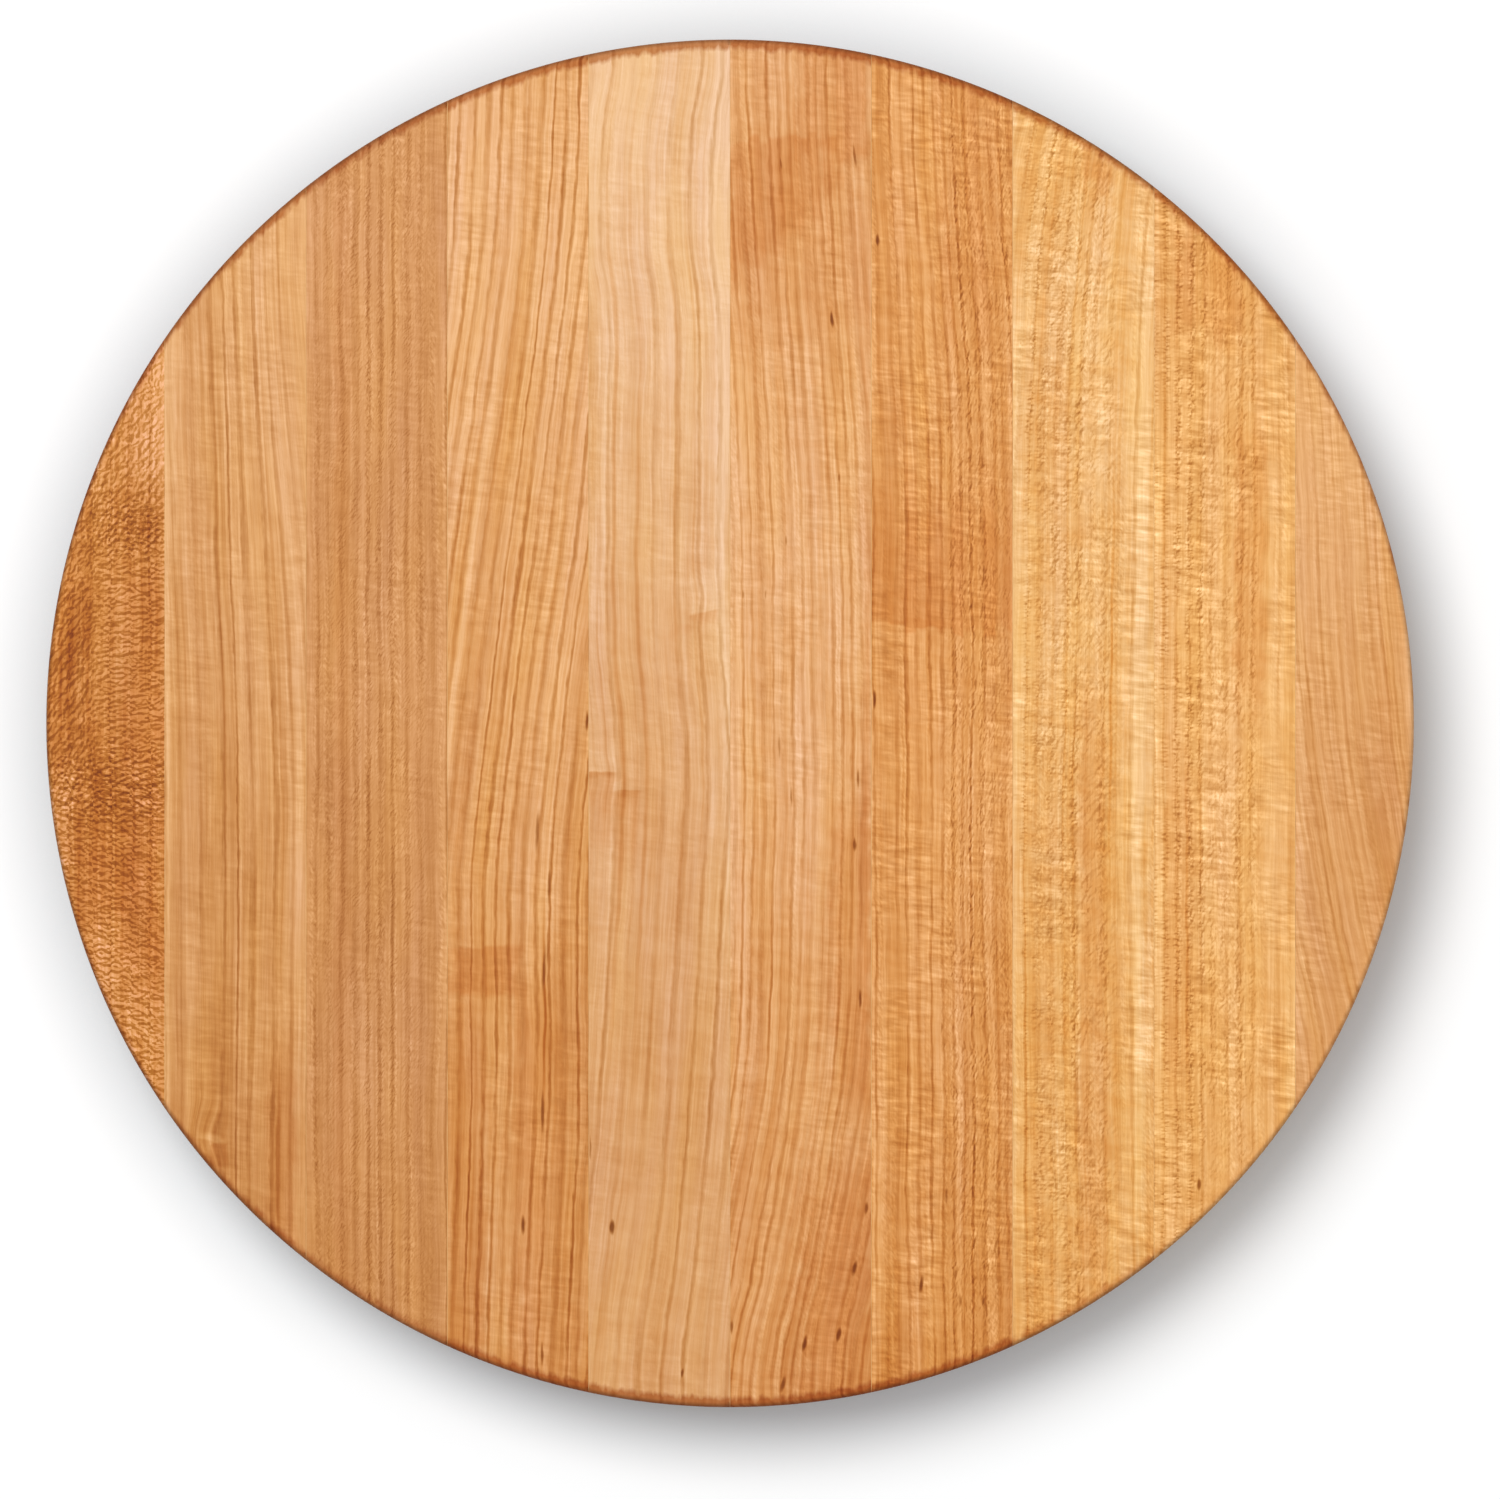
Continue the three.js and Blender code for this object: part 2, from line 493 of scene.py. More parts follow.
STAVES = [
    {
        "colour": "cd8138", "contrast": 0.85, "redden": 0.46, "yellow": 1.2, "marks_yellow": 1.25,
        "level": 0.58, "spacing": 7.0, "lines": 0.25, "mottle": 0.5, "feather": 0.8, "cloud": 0.4,
        "ripple": 0.4, "soak_and_shade": (1.0, 0.7), "slope": 0.2,
        "trend": [(92, 0.28), (61, 0.02), (31, 0.02), (0, -0.04), (-30, -0.05), (-60, 0.02), (-91, 0.12)],
        "gather": 0.2, "soft": 0.24,
        "flecks": [
            (-224, 17, 45, 90, 54, 1.3, 2.6, 0.6, 1.15),
            (-202, 17, 92, 42, 58, 1.3, 2.6, 0.6, 1.0),
            (-198, 19, 22, 64, 8, 1.45, 3.4, 1.0, 1.2),
            (-208, 28, -70, 70, -10, 1.45, 3.2, 1.1, 1.25),
        ],
        "patches": [
            patch(-215.4, 9, 44, -12, (8, 18, 18), tone=-0.1),
            patch(-196.4, 7, 54, -92, (6, 14, 30), tone=0.06, warm=0.6),
            patch(-199, 9, 82, 58, (6, 10, 14), tone=-0.12),
            patch(-206, 9, -38, -66, (8, 12, 12), warm=0.4),
            patch(-205, 16, 10, -110, (10, 40, 30), warm=0.3),
        ],
    },
    {
        "colour": "d59556", "redden": 0.45, "yellow": 0.8, "level": 0.62, "arris_highlight": 0.35,
        "spacing": 6.0, "lines": 0.9, "uneven": 0.8, "varied": 0.9, "waver": 0.2, "wander": 1.2, "bands": 0.3,
        "mottle": 0.15, "ripple": 0.18, "streak": 0.5, "soak_and_shade": (1.15, 0.8), "slope": 0.4, "bow": 0.01,
        "drift": [(220, -7), (131, -4.5), (60, -2), (0, 0), (-200, 0)],
        "trend": [(152, 0.22), (92, 0.12), (31, 0.06), (-30, -0.03), (-121, -0.11), (-152, -0.2)],
        "bends": [(-148, 150, 22, 130, -5), (-175, -138, 9, 14, -3)],
        "streaks": [
            (-150.3, -10, 1.0, 140, -0.45), (-150.6, -145, 1.1, 40, -0.9), (-187.5, 20, 1.8, 150, 0.3),
            (-144.5, 70, 1.1, 16, 0.5), (-181.4, 10, 0.9, 120, -0.3), (-169, 20, 0.9, 140, -0.3),
            (-144.4, 0, 1.8, 220, 0.3),
        ],
        "patches": [
            patch(-173.2, 4.4, -136.4, -140, (3, 2.5, 1.2), tone=0.45, top_lean=-0.2, foot_lean=-0.2),
            patch(-170.7, 3.2, -140, -153, (1.5, 1.0, 6), warm=0.9, tone=-0.12),
            patch(-150, 5, -110, -180, (4, 30, 20), warm=0.5),
            joint_edge(-187, 125, 10, 0.3),
        ],
    },
    {
        "colour": "ce8d51", "contrast": 0.42, "redden": 0.38, "yellow": 0.75,
        "spacing": 4.4, "width": 1.3, "lines": 0.58, "mottle": 0.6, "ripple": 0.18,
        "soak_and_shade": (0.9, 0.65), "slope": -0.7, "bow": -0.004,
        "trend": [(183, 0.08), (152, 0.14), (61, 0), (0, 0.05), (-30, -0.06), (-121, -0.03), (-182, -0.13)],
        "flecks": [(-118, 26, 0, 250, 60, 0.7, 1.8, 0.5, 0.55)],
        "streaks": [(-129.5, 0, 3.0, 220, -0.2)],
        "patches": [
            patch(-129.5, 3.2, 200, -200, (3, 60, 60), warm=0.3),
            patch(-103, 10, 195, 110, (8, 20, 30), tone=-0.1),
            joint_edge(-139.8, 180, -180, 0.15),
            joint_edge(-96.2, 60, -130, 0.18),
        ],
    },
    {
        "colour": "da9654", "contrast": 0.53, "redden": 0.52, "yellow": 1.0, "level": 0.66,
        "spacing": 4.4, "lines": 1.05, "varied": 0.6, "bands": 0.3, "mottle": 0.12, "ripple": 0.2,
        "streak": 0.36, "arris_highlight": 0.12, "slope": 0.8,
        "drift": [
            (220, 23), (175, 21), (120, 15), (72, 8.7), (30, 3.2), (0, 0), (-55, -5), (-140, -6), (-220, -9),
        ],
        "trend": [(213, 0.22), (152, 0.24), (92, 0.11), (31, 0.04), (-30, 0.03), (-91, -0.1), (-182, -0.12)],
        "streaks": [(-93, 40, 1.4, 180, 0.3), (-56.8, -94, 0.8, 46, -0.7)],
        "patches": [
            patch(-83, 12, -74.4, -91.2, (8, 1.5, 3.2), warm=0.75, tone=-0.04),
            patch(-62, 11, -92, -228, (10, 30, 10), warm=0.5),
            patch(-89, 7, -90, -228, (6, 60, 10), warm=0.5, tone=-0.08),
        ],
        "gum": [
            (-62.1, -82.4, 0.8, 10, 0.06, 0.5), (-62.6, -130, 0.8, 9, 0, 0.75),
            (-69.1, -167.5, 1.0, 4, 0, 1), (-62.8, -210.6, 0.7, 5, 0, 0.7),
            (-64.4, -36, 0.8, 8.5, 0.05, 0.6), (-60.5, -54.4, 0.6, 7, 0.05, 0.45),
            (-47.8, 0.8, 0.8, 4, 0, 0.9),
        ],
    },
    {
        "colour": "e2a86f", "contrast": 0.45, "redden": 0.52, "yellow": 0.85, "level": 0.63,
        "spacing": 7.4, "width": 1.5, "lines": 0.64, "mottle": 0.1, "fibre": 0.24, "streak": 0.34,
        "ripple": 0.1, "slope": -0.3, "bow": -0.012,
        "drift": [
            (220, 2), (198, -1), (160, -1.8), (140, 0.5), (128, 1), (80, 0), (30, 0), (-5, 2.5), (-60, 1.5),
            (-120, -2), (-170, -7), (-220, -12.5),
        ],
        "trend": [
            (213, 0.26), (152, 0.24), (92, 0.09), (31, 0.04), (-30, -0.02), (-91, -0.14), (-212, -0.16),
        ],
        "bends": [(-9, 42, 8, 11, 1.4), (-42, -18, 8, 9, 1.2)],
        "streaks": [
            (-39, 40, 1.4, 240, -0.5), (-31, 40, 1.4, 240, -0.45), (-19, 40, 1.0, 240, -0.25),
            (-12.4, 40, 0.9, 240, -0.25), (-3.2, 90, 2.8, 210, 0.6), (-44.3, 10, 0.6, 70, -0.35),
        ],
        "patches": [
            patch(-8.6, 5, 50, 37, (2, 9, 1.2), tone=0.2, foot_lean=0.2),
            patch(-9.2, 5.4, 37.2, 33, (2.5, 0.9, 4), warm=0.6, foot_lean=0.2, top_lean=0.2),
            patch(-15.4, 3.2, 34, 29, (4, 3, 4), warm=0.4),
            patch(-43.2, 5.2, -6, -16.2, (1.4, 8, 0.8), tone=0.07),
            patch(-43.2, 4.6, -16.4, -36, (3.2, 0.8, 28), warm=0.55),
            patch(-43.6, 4.6, -16.2, -17.6, (2.4, 0.6, 1.6), tone=-0.2),
            patch(-33.6, 4.2, -22.6, -42, (3.4, 0.8, 30), warm=0.45),
            patch(-34.2, 4.6, -22.4, -23.6, (2.8, 0.6, 1.6), tone=-0.14),
            patch(-37.6, 1.5, -19.4, -22.6, (1.4, 1, 1.4), tone=0.22),
            patch(-24, 16, 40, -70, (16, 60, 60), warm=0.22),
            joint_edge(-1.8, 228, 120, 0.45),
            joint_edge(-45.4, 150, 60, -0.22),
        ],
        "gum": [
            (-39.4, -168.2, 1.1, 3.2, 0, 1.1), (-15.9, -217, 0.7, 2, 0.1, 0.8),
            (-46.6, -142, 0.5, 5, 0, 0.4),
        ],
    },
    {
        "colour": "dd9858", "contrast": 0.54, "redden": 0.54, "yellow": 0.9, "level": 0.70,
        "spacing": 3.3, "varied": 0.7, "lines": 0.7, "bands": 0.3, "mottle": 0.3, "uneven": 0.45,
        "ripple": 0.2, "curl": 0.2, "slope": 1.1,
        "streaks": [(45.6, 0, 1.5, 90, -0.25)],
        "drift": [
            (220, -9), (160, -6.5), (110, -3), (60, -0.5), (0, 0), (-60, -0.5), (-100, -2), (-140, -6.5),
            (-180, -13.5), (-220, -21),
        ],
        "trend": [
            (213, 0.05), (183, -0.01), (152, 0), (122, 0.1), (61, 0.17), (0, 0.14),
            (-60, 0.03), (-152, -0.07), (-212, -0.16),
        ],
        "patches": [
            patch(18.1, 19.4, 195.4, 163, (5, 2.2, 14), warm=0.75, top_lean=0.05, foot_lean=0.73),
            patch(35, 12, 240, 190, (7, 8, 5), warm=0.65),
            patch(22, 24, 170, 126, (10, 20, 30), warm=0.25),
            patch(40.7, 6, -25.6, -126, (6, 24, 24), warm=0.7),
            patch(36, 12, -150, -228, (12, 30, 8), warm=0.75),
            patch(45.4, 1.6, 150, -210, (2, 60, 30), warm=0.28),
            joint_edge(1.8, 90, -80, 0.28),
        ],
        "gum": [
            (36.4, 82, 0.5, 2.0, 0, 0.35), (18.7, 61, 0.5, 2.2, 0, 0.35), (4.3, 43, 0.4, 2, 0, 0.3),
            (12, 43, 0.4, 2, 0, 0.3), (34, 135, 0.8, 3.5, -0.1, 1.1), (41.6, 189.5, 0.6, 5, -0.1, 0.6),
            (17, 187, 0.5, 2.5, -0.1, 0.45), (42.8, -18.4, 0.6, 4, 0, 0.65), (41.6, -40.4, 0.7, 3, 0, 0.75),
            (20.5, -24.5, 0.5, 4, 0, 0.45), (16.5, -8, 0.5, 5, 0, 0.35), (43.4, -92, 0.7, 4, 0, 0.75),
            (41.6, -181.9, 1, 3.2, 0.2, 1), (36.3, -204, 1, 3.2, 0.2, 1), (24.9, -207, 1, 3.4, 0.2, 1),
            (17.7, -220.7, 0.9, 3.4, 0.2, 0.8), (45.4, -162, 0.8, 2.8, 0.1, 0.75),
            (0.6, -201.6, 0.8, 3, 0, 0.65),
        ],
    },
    {
        "colour": "da9048", "contrast": 0.54, "redden": 0.5, "yellow": 1.0, "level": 0.69,
        "spacing": 3.6, "width": 1.05, "lines": 0.82, "bands": 0.3, "curl": 0.28, "mottle": 0.5,
        "ripple": 0.4, "soak_and_shade": (0.9, 0.9), "arris_highlight": 0.1, "slope": -0.9, "bow": -0.006,
        "drift": [(220, -6.5), (140, -3), (70, 0), (0, 0), (-220, 1)],
        "trend": [
            (213, 0.1), (122, 0.06), (92, 0.08), (61, 0.12), (31, 0.12), (0, 0.12),
            (-60, 0.06), (-152, -0.03), (-212, -0.14),
        ],
        "flecks": [(84, 15, 0, 250, 78, 0.9, 2.4, 0.4, 1.0)],
        "streaks": [(59.6, 60, 0.8, 150, -0.35), (66, 60, 0.8, 150, -0.35), (51, -140, 4, 100, 0.35)],
        "patches": [
            patch(51.1, 3.8, 90.6, 27.8, (2, 8, 2.5), warm=0.3),
            patch(70, 26, 74, 31.2, (2, 36, 3), warm=0.78, foot_lean=-0.03),
            patch(59.6, 12, 34.6, 32.2, (8, 1.4, 1.4), warm=0.4, tone=-0.1, top_lean=-0.03, foot_lean=-0.03),
            patch(70, 26, 33, -10, (2, 6, 50), warm=0.18),
            patch(82, 11, 228, 130, (10, 6, 40), warm=0.4),
            joint_edge(49, -130, -220, 0.35),
        ],
        "gum": [
            (48.2, 8, 0.8, 4, 0, 0.9), (49.3, 161.4, 0.9, 2.6, 0, 1), (63.9, -187.3, 0.9, 3.5, 0.1, 0.9),
            (72.2, -157.6, 0.6, 4, 0, 0.5), (76.8, -192.7, 0.6, 3, 0, 0.5), (84.4, -192.7, 0.6, 2.2, 0, 0.5),
        ],
    },
    {
        "colour": "ecab5f", "contrast": 0.43, "redden": 0.6, "yellow": 1.2,
        "spacing": 4.4, "width": 1.3, "lines": 0.5, "bands": 0.28, "curl": 0.3, "mottle": 0.5,
        "streak": 0.32, "ripple": 0.42, "soak_and_shade": (0.9, 0.6), "arris_highlight": 0.15, "slope": 0.25, "bow": 0.004,
        "drift": [(220, 13), (185, 7), (150, 3.2), (120, 1.4), (80, 0), (-220, 0)],
        "trend": [(183, 0.04), (152, 0.13), (61, 0.11), (0, 0.03), (-91, -0.09), (-182, -0.1)],
        "flecks": [
            (106, 12, 0, 250, 2, 1.1, 3.6, 0.8, 0.55),
            (115, 19, 0, 250, 58, 1.35, 2.8, 0.7, 0.75),
        ],
        "streaks": [
            (95, 0, 1.7, 250, 0.45), (137, 0, 4.2, 250, 0.55), (128, 30, 0.8, 120, -0.4),
            (102, 130, 1.2, 90, -0.3), (139, 165, 1.2, 26, 0.5),
        ],
        "patches": [
            patch(122.7, 5, 191.5, 179.8, (4, 5, 5), warm=0.6),
            patch(121.2, 5, 8, -192, (4, 50, 50), warm=0.5),
            patch(108, 10, 120, 40, (10, 40, 40), warm=0.25),
            joint_edge(139.8, 40, -150, 0.32),
        ],
    },
    {
        "colour": "eaa75b", "contrast": 0.42, "redden": 0.52, "yellow": 1.0, "level": 0.70,
        "spacing": 4.2, "width": 1.3, "lines": 0.42, "bands": 0.28, "curl": 0.3, "mottle": 0.4,
        "streak": 0.32, "ripple": 0.46, "soak_and_shade": (0.95, 0.25), "edge": 0.7, "arris_highlight": 0.15,
        "slope": -0.25, "bow": -0.003,
        "trend": [(152, -0.06), (122, 0), (31, 0.02), (-91, -0.02), (-152, -0.05)],
        "flecks": [
            (149, 11, 0, 250, 2, 1.1, 4.0, 0.8, 0.6),
            (163, 19, 20, 200, 62, 1.35, 2.8, 0.9, 0.65),
        ],
        "streaks": [(152.6, -70, 0.9, 100, -0.5), (144.5, 60, 0.8, 160, -0.3), (182, 0, 5, 220, 0.15)],
        "patches": [
            patch(160.3, 12, 161.4, 131.4, (8, 10, 12), warm=0.55),
            patch(173.7, 5, 98, 8, (4, 24, 24), warm=0.55),
            patch(150, 6, -10, -120, (6, 40, 40), warm=0.35),
            joint_edge(143.4, 110, -130, 0.3),
            joint_edge(187, -80, -140, 0.3),
        ],
        "gum": [(156.6, -154, 1.0, 2.6, 0, 0.9)],
    },
    {
        "colour": "dd9b5b", "contrast": 0.4, "redden": 0.46, "yellow": 0.75, "level": 0.73,
        "spacing": 2.8, "width": 1.0, "lines": 0.52, "mottle": 0.2, "ripple": 0.26,
        "soak_and_shade": (0.85, 0.25), "edge": 0.3,
        "drift": [(125, -7), (60, -4), (0, 0), (-30, 4), (-60, 9), (-125, 20)],
        "trend": [(122, 0.3), (61, 0.16), (0, -0.05), (-60, -0.1), (-121, -0.02)],
        "streaks": [(227, 0, 4.5, 80, 0.22)],
        "patches": [patch(220, 4, 80, -80, (5, 40, 40), warm=0.3), joint_edge(190.6, 80, -100, 0.28)],
    },
]


# In the figure below, a place divided by a number makes a pattern of about that many millimetres,
# and a number added to a layer keeps two patterns apart.


class Place:
    """Where a point lies in a stave, in millimetres: across the grain, along it, below the work face."""

    def __init__(self, wood, seed, card):
        self.x, self.y, z = wood.millimetres()
        self.seed = seed
        self.depth = z - THICKNESS_MM
        self.layer = self.depth / 20 + seed * SEED_STEP
        self.shallow = self.depth.eased(*PATCH_DEPTHS)
        self.ragged = wood.noise(self.x / 1.2, self.y / 5, self.depth / 1.2 + seed, 1)
        self.sway = wood.noise(self.x / 6, self.y / 9, self.layer + 20, 2)
        self.here = wood.vector(self.x, self.y, self.depth)
        drift = wood.curve(self.y, card["drift"], DRIFT_REACH)
        wander = wood.noise(self.x / 30, self.y / 90, self.layer, 2) * card["wander"]
        waver = wood.noise(self.x / 4, self.y / 12, self.layer + 31, 1) * card["waver"]
        self.across = self.x - drift - wander - waver
        for x, y, half_width, half_length, push in card["bends"]:
            halves = (half_width, half_length, MARK_DEPTH)
            self.across = self.across - wood.spot(self.here, (x, y, 0), halves) * push
        self.grain = self.across + self.depth * card["slope"] + self.depth * self.depth * card["bow"]


def shaded(base, shade, redden, yellow):
    """A colour made darker or lighter by a shade. The darker it is, the redder and the yellower."""
    red, green, blue, _ = base
    changes = (shade * (1 - redden), shade, shade * (1 + yellow))
    return (*(part * math.exp(change) for part, change in zip((red, green, blue), changes)), 1)


def wood_tones(card):
    """Colours from a stave's dark to its light."""
    base = colour(card["colour"])
    stops = []
    for step in range(TONES + 1):
        tone = step / TONES
        shade = math.log(1 + card["contrast"] * (2 * tone - 1))
        stops.append((tone, shaded(base, shade, card["redden"], card["yellow"])))
    return stops


def mark_tones(card):
    """What fine marks do to the colour, from the darkest to the lightest."""
    stops = []
    for step in range(TONES + 1):
        tone = step / TONES
        shade = MARK_SHADE * MARK_REACH * (2 * tone - 1)
        stops.append((tone, shaded((1, 1, 1, 1), shade, MARK_REDDEN, card["marks_yellow"])))
    return stops


def growth_rings(wood, at, card):
    """Uneven rings: how dark their lines are here, how near a line is, and a random number for each ring."""
    spacing = card["spacing"]
    width = card["width"]
    jitter = wood.noise(at.grain / (2.2 * spacing), at.seed * 3.1, 0.5, 2) * card["uneven"]
    phase = (at.grain + at.ragged * card["feather"]) / spacing + jitter
    ring = phase.floor()
    luck = wood.chance(ring + at.seed * 100)
    band = wood.chance((phase + 0.5).floor() + at.seed * 100 + 50)
    off_line = (phase - ring - 0.5).absolute() * spacing
    fade = wood.noise(at.grain / 5, at.y / 35, at.layer, 2) + at.ragged * 0.4 + 0.75
    strength = (luck * card["varied"] + 1 - card["varied"]) * fade.between(0, 1.2)
    # A line is dark in the middle and the wood on both sides of it is palest. Faint lines are wider.
    aside = off_line / (width * (1.4 - luck * 0.7))
    core = aside.eased(*LINE_CORE)
    flanks = aside.eased(*LINE_FLANKS)
    near = aside.eased(*LINE_REACH) * (0.35 + luck * 0.65)
    return (core * 1.3 - flanks * 0.3) * strength, near, band


def soft_figure(wood, at, card):
    """Streaks along the grain, soft bars across and large clouds."""
    streak = wood.noise(at.grain / 1.3, at.y / 80, at.depth / 1.3 + at.seed, 2)
    curl = wood.noise(at.x / 9, (at.y + at.x * 0.25) / 4.5, at.layer + 15, 2)
    cloud = wood.noise(at.across / 16, at.y / 55, at.layer + 3, 1)
    return streak * card["streak"] + curl * card["curl"] + cloud * card["cloud"]


def fine_marks(wood, at, card):
    """Fibres along the grain, mottled columns and thin bars across."""
    fibre = wood.noise(at.grain / 0.6, at.y / 22, at.depth / 0.6 + at.seed, 2, 0.6)
    columns = wood.noise(at.grain / 3.5, at.y / 140, at.layer + 11, 1).eased(-0.1, 0.35)
    mottle = wood.noise((at.across + at.y * 0.45) / 0.9, at.y / 1.9, at.depth / 0.9 + at.seed, 1)
    barred = wood.noise(at.x / 14, at.y / 30, at.layer + 33, 1).eased(-0.35, 0.3)
    ripple = wood.noise(at.across / 7, (at.y + at.x * 0.12) / 1.6, at.layer + 9, 2) * barred
    return fibre * card["fibre"] + mottle * columns * card["mottle"] + ripple * card["ripple"] * 2


def ray_fleck(wood, at, fleck, band, near, card):
    """Short wavy dark marks in a window, broken off from ring to ring and gathered along growth lines."""
    x, half_width, y, half_length, angle, thickness, length, swirl, shift = fleck
    turn = math.radians(angle)
    long_way = at.across * math.cos(turn) + at.y * math.sin(turn)
    short_way = at.y * math.cos(turn) - at.across * math.sin(turn) + band * RING_SHIFT
    inside = at.depth / 1.5 + at.seed * SEED_STEP
    dark = wood.noise(long_way / length, short_way / thickness, inside, 1, 0.5, swirl)
    pale = wood.noise(long_way / length, short_way / thickness + 0.6, inside, 1, 0.5, swirl)
    marks = (dark - pale).between(-card["soft"], FLECK_EDGE) - FLECK_DARK
    breaks = wood.noise(at.grain / 4, at.y / 9, at.layer + 40, 1).between(-0.45, 0.2)
    crowd = 1 + (breaks * (0.15 + near * 1.2) - 1) * card["gather"]
    window = (at.x + at.ragged * FLECK_FRAY - x).absolute().eased(half_width, half_width * 0.5)
    window = window * (at.y + at.ragged * FLECK_FRAY - y).absolute().eased(half_length, half_length * 0.7)
    return marks * crowd * window * shift


def patch_window(at, area, band):
    """1 within the patch and 0 outside, with edges that sway and step a little from ring to ring."""
    side_fade, top_fade, foot_fade = area["fades"]
    step = at.sway + (band - 0.5) * 1.2
    aside = at.x - area["x"]
    half = area["half"]
    sides = (aside + at.sway * side_fade).absolute().eased(half + side_fade / 2, half - side_fade / 2)
    below_top = aside * area["top_lean"] + area["top"] - at.y + step * min(top_fade, MOST_STEP)
    above_foot = at.y - aside * area["foot_lean"] - area["foot"] + step * min(foot_fade, MOST_STEP)
    ends = below_top.eased(-top_fade / 2, top_fade / 2) * above_foot.eased(-foot_fade / 2, foot_fade / 2)
    return sides * ends * at.shallow * (0.75 + band * 0.5)


def turned_rim(wood, at, base, card):
    """The colour with the rim's soaked end grain and painted edge shade, and how much of it is end grain."""
    reach = (at.x * at.x + at.y * at.y).root()
    inward = RADIUS_MM - reach
    lengthwise = (at.y / reach).absolute() ** BAND_POWER
    uneven = wood.noise(at.x / 2.5, at.y / 6, at.layer + 5, 2)
    width = SIDE_BAND + lengthwise * END_BAND + uneven * 1.5 + at.ragged * 0.8
    # The band is darker towards the top than towards the foot: painted shade that evens out the lamp's light
    # on the rim
    top, foot = card["soak_and_shade"]
    soak_and_shade = at.y.eased(-SOAK_AND_SHADE_TURN, SOAK_AND_SHADE_TURN) * (top - foot) + foot
    band = ((width - inward) / BAND_FADE).between(0, 1)
    end = band * (0.85 + lengthwise * 0.25 + uneven * 0.4) * soak_and_shade
    base = wood.mix(end, base, END_GRAIN, "MULTIPLY")
    # Painted shade on the outermost edge
    return wood.mix(inward.eased(*DARKER_EDGE) * card["edge"], base, PAINTED_EDGE_SHADE, "MULTIPLY"), end


def cherry(name, seed, left, card):
    """Oiled cherry, figured as the stave's own card says, from its left joint on."""
    wood = Finish(name)
    card = {**PLAIN, **card}
    at = Place(wood, seed, card)
    lines, near, band = growth_rings(wood, at, card)
    tone = card["level"] + wood.curve(at.y, card["trend"], TREND_REACH) + (band - 0.5) * card["bands"]
    tone = tone - lines * (card["lines"] * LINE_SHARE) + soft_figure(wood, at, card)
    marks = fine_marks(wood, at, card) - lines * (card["lines"] * (1 - LINE_SHARE))
    for fleck in card["flecks"]:
        marks = marks + ray_fleck(wood, at, fleck, band, near, card)

    # Marks that this stave alone has
    # A painted highlight along the stave's left edge
    tone = tone + (at.x - left).eased(*ARRIS_HIGHLIGHT) * card["arris_highlight"]
    along_grain = wood.vector(at.across, at.y, at.depth)
    for x, y, half_width, half_length, shift in card["streaks"]:
        tone = tone + wood.spot(along_grain, (x, y, 0), (half_width, half_length, MARK_DEPTH)) * shift
    for x, y, half_width, half_length, lean, strength in card["gum"]:
        frayed = wood.vector(at.x + at.ragged * 0.4 - (at.y - y) * lean, at.y, at.depth)
        spot = wood.spot(frayed, (x, y, 0), (half_width, half_length, MARK_DEPTH), 0.2)
        marks = marks - spot * (strength * MARK_REACH)
    warmth = (band - 0.5) * 0.3
    for area in card["patches"]:
        window = patch_window(at, area, band)
        tone = tone + window * area["tone"]
        warmth = warmth + window * area["warm"]

    base = wood.ramp(tone, wood_tones(card))
    base = wood.mix(1, base, wood.ramp(marks / (2 * MARK_REACH) + 0.5, mark_tones(card)), "MULTIPLY")
    base = wood.mix(warmth, base, WARM, "MULTIPLY")
    hue = wood.noise(at.across / 9, at.y / 70, at.layer + 27, 2) + 0.5
    base = wood.mix(1, base, wood.mix(hue, YELLOWISH, PINKISH), "MULTIPLY")
    base, end = turned_rim(wood, at, base, card)
    pores = wood.noise(at.x / 0.45, at.y / 7, at.depth / 0.45, 2)
    roughness = OILED + pores * 0.12 + end * 0.15
    return wood.surface(base, roughness, wood.relief(pores, PORE_DEPTH))


def cured_glue(name):
    """Amber glue, sanded flush with the staves, a little darker in places."""
    glue = Finish(name)
    x, y, z = glue.millimetres()
    blotch = glue.noise(x / 3, y / 14, z / 14, 2) * 0.5 + 0.5
    stops = [(0.3, colour("b8814a")), (0.55, colour("e2b478"))]
    base = glue.ramp(blotch, stops)
    inward = RADIUS_MM - (x * x + y * y).root()
    base = glue.mix(inward.eased(*DARKER_EDGE), base, END_GRAIN, "MULTIPLY")
    return glue.surface(base, GLUED)


# The board


def build_board():
    tree = turned_slice_tree()
    glue = cured_glue("cured_glue")
    for node in sorted(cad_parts):
        low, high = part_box(node)
        left = low.x if low.x > cad_box[0].x + EASING else low.x - SPARE
        right = high.x if high.x < cad_box[1].x - EASING else high.x + SPARE
        if node.startswith("stave"):
            number = int(node[-2:])
            material = cherry(f"cherry_{number:02d}", number, left * MM, STAVES[number - 1])
        else:
            material = glue
        piece = make_slice(node + "_turned", tree, left, right, material)
        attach(piece, "root")
        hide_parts(node)


# Floor, light and camera

PHOTO_SIDE = 1500  # pixels across the photograph
BOARD_PIXELS = 1369  # across the board there
BOARD_MIDDLE = (730.05, 723.35)  # pixel at the board's centre
PHOTO_MIDDLE = (750, 749.5)
CAMERA_HEIGHT = 2.0  # above the work face
SENSOR = 0.036
SKY_SHARE = 0.57  # of the light that falls on a level surface; the lamp gives the rest
LAMP_SIZE = 2.5  # across the disc
LAMP_DISTANCE = 4.0  # from the board
LAMP_DIRECTION = Vector((-0.40, 0.44, 1.0)).normalized()
FLOOR_HALF = 6  # half a side of the floor
FLOOR_WHITE = (1.13, 1.145, 1.15, 1)  # comes out white, with the board's glow taken out
RIM_WHITE = (1.10, 1.16, 1.19, 1)  # the same next to the rim, where the glow is stronger
GLOW_REACH = 30  # how far from the rim that is, mm
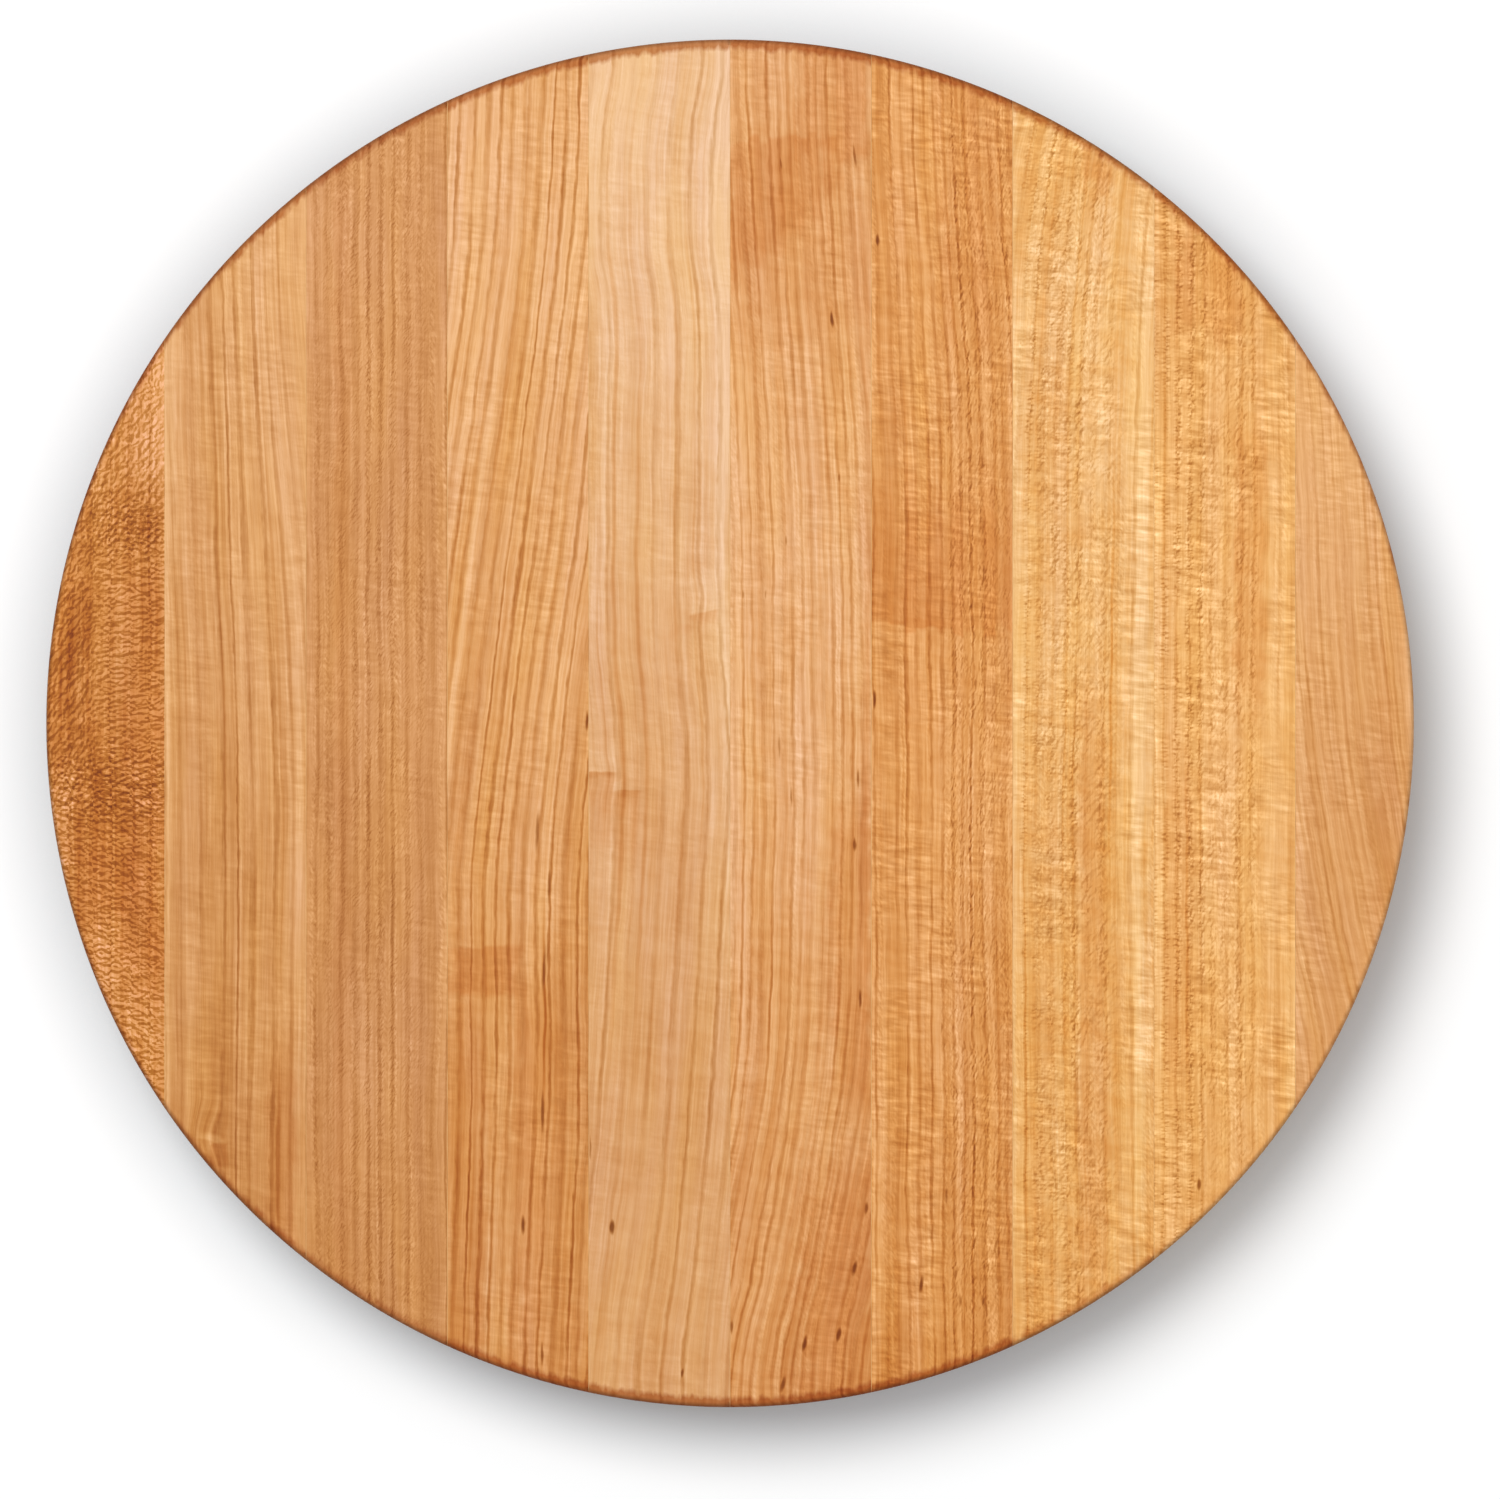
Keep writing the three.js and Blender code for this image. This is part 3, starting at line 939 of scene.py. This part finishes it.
FLOOR_BOUNCE = (0.3, 0.3, 0.3, 1)  # what the board sees of the floor
CONTACT_REACH = 0.03  # of the painted shadow where the board meets the floor
CONTACT_POWER = 0.42  # how soon that shadow fades
BLACK = (0, 0, 0, 1)


def seen_ray(tree):
    """1 for rays from the camera and for what shows in a reflection or through a surface."""
    path = tree.node("ShaderNodeLightPath").outputs
    kinds = ("Is Camera Ray", "Is Glossy Ray", "Is Transmission Ray")
    camera, glossy, through = (Value(tree, path[kind]) for kind in kinds)
    return (camera + glossy + through).between(0, 1)


def lay_floor():
    """A white floor that keeps the board's shadow, with a painted contact shadow along the rim."""
    mesh = bpy.data.meshes.new("floor")
    corners = [(x * FLOOR_HALF, y * FLOOR_HALF, 0) for x, y in ((-1, -1), (1, -1), (1, 1), (-1, 1))]
    mesh.from_pydata(corners, [], [(0, 1, 2, 3)])
    floor = bpy.data.objects.new("floor", mesh)
    bpy.context.scene.collection.objects.link(floor)
    paint = Finish("white_floor")
    seen = seen_ray(paint)
    # Painted contact shadow: the floor's colour darkens where the board hides the sky
    open_sky = paint.value("ShaderNodeAmbientOcclusion", None, {"Distance": CONTACT_REACH}, "AO")
    x, y, _ = paint.millimetres()
    near = ((x * x + y * y).root() - RADIUS_MM).eased(GLOW_REACH, 0)
    white = paint.mix(near, FLOOR_WHITE, RIM_WHITE)
    white = paint.mix(open_sky ** CONTACT_POWER, BLACK, white)
    tint = paint.mix(seen, FLOOR_BOUNCE, white)
    sockets = {"Base Color": tint, "Roughness": 1, "Specular IOR Level": 0}
    shader = paint.node("ShaderNodeBsdfPrincipled", None, sockets)
    paint.node("ShaderNodeOutputMaterial", None, {"Surface": shader.outputs[0]})
    mesh.materials.append(paint.material)


def light_scene():
    """An even white sky and one large soft lamp at the upper left."""
    world = bpy.data.worlds.new("studio")
    world.use_nodes = True
    world.node_tree.nodes.clear()
    sky = Tree(world.node_tree)
    strength = SKY_SHARE + seen_ray(sky) * (1 - SKY_SHARE)
    background = sky.node("ShaderNodeBackground", None, {"Color": (1, 1, 1, 1), "Strength": strength})
    sky.node("ShaderNodeOutputWorld", None, {"Surface": background.outputs[0]})
    bpy.context.scene.world = world

    lamp = bpy.data.lights.new("key_lamp", "AREA")
    lamp.shape = "DISK"
    lamp.size = LAMP_SIZE
    key = bpy.data.objects.new("key_lamp", lamp)
    key.location = LAMP_DIRECTION * LAMP_DISTANCE
    key.rotation_mode = "QUATERNION"
    key.rotation_quaternion = LAMP_DIRECTION.to_track_quat("Z", "Y")
    # A diffuse disc of this power lights a level surface below it to the share wanted
    cosine = LAMP_DIRECTION.z
    lamp.energy = (1 - SKY_SHARE) * math.pi * math.pi * LAMP_DISTANCE**2 / cosine
    bpy.context.scene.collection.objects.link(key)


def place_camera():
    """Straight above, with the board where the photograph has it."""
    scale = 2 * RADIUS / BOARD_PIXELS
    lens = bpy.data.cameras.new("camera")
    lens.sensor_width = SENSOR * MM
    lens.lens = SENSOR * MM * CAMERA_HEIGHT / (PHOTO_SIDE * scale)
    camera = bpy.data.objects.new("camera", lens)
    offset_x = (PHOTO_MIDDLE[0] - BOARD_MIDDLE[0]) * scale
    offset_y = (BOARD_MIDDLE[1] - PHOTO_MIDDLE[1]) * scale
    camera.location = (offset_x, offset_y, THICKNESS + CAMERA_HEIGHT)
    bpy.context.scene.collection.objects.link(camera)
    bpy.context.scene.camera = camera


build_board()
lay_floor()
light_scene()
place_camera()
bpy.context.scene.view_settings.view_transform = "Standard"
